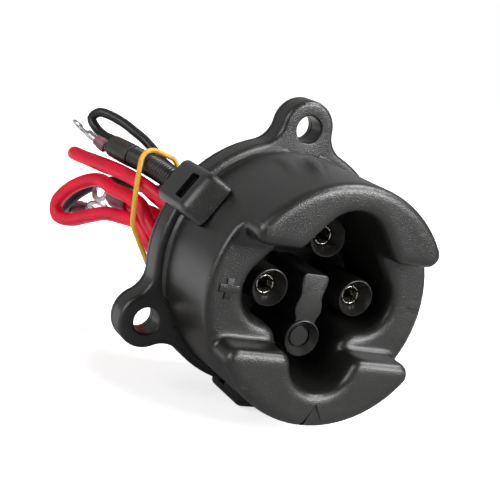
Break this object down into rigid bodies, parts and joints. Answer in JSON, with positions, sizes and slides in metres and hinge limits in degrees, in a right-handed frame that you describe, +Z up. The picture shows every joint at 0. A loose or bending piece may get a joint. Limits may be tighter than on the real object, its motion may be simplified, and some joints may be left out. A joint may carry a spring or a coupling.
{
  "type": "charge port inlet",
  "caption": "Round keyed charge port inlet with an eared flange, a latched rear cover and its folded wires held by a rubber band.",
  "frame": {"origin": "centre of the rear mounting face, on the body's axis", "axes": "+Z up to the upper ear, -Y out of the port's mouth, +X to the right of someone facing the mouth"},
  "size_m": [0.0746, 0.1198, 0.0766],
  "materials": {
    "black_plastic": "moulded, satin",
    "cover_plastic": "moulded, fine texture",
    "contact_metal": "silver plated",
    "tinned_copper": "tinned",
    "black_rubber": "matt",
    "red_insulation": "soft gloss",
    "black_insulation": "soft gloss",
    "sheath_plastic": "ribbed, satin",
    "maroon_shrink": "satin",
    "yellow_rubber": "satin"
  },
  "bodies": {
    "root": {"front_housing": "black_plastic", "rear_cover": "cover_plastic", "contact_left": "contact_metal", "contact_top": "contact_metal", "contact_right": "contact_metal", "cable_grommet": "black_rubber", "red_wire": "red_insulation", "black_lead": "black_insulation", "signal_lead": "black_insulation", "signal_wire": "black_insulation", "wire_sheath": "sheath_plastic", "sheath_end_sleeve": "sheath_plastic", "ring_terminal_red": "tinned_copper", "ring_terminal_black": "tinned_copper", "ring_terminal_signal": "tinned_copper", "terminal_sleeve_red": "maroon_shrink", "terminal_sleeve_black": "maroon_shrink", "terminal_sleeve_signal": "maroon_shrink", "rubber_band": "yellow_rubber"}
  },
  "joints": []
}
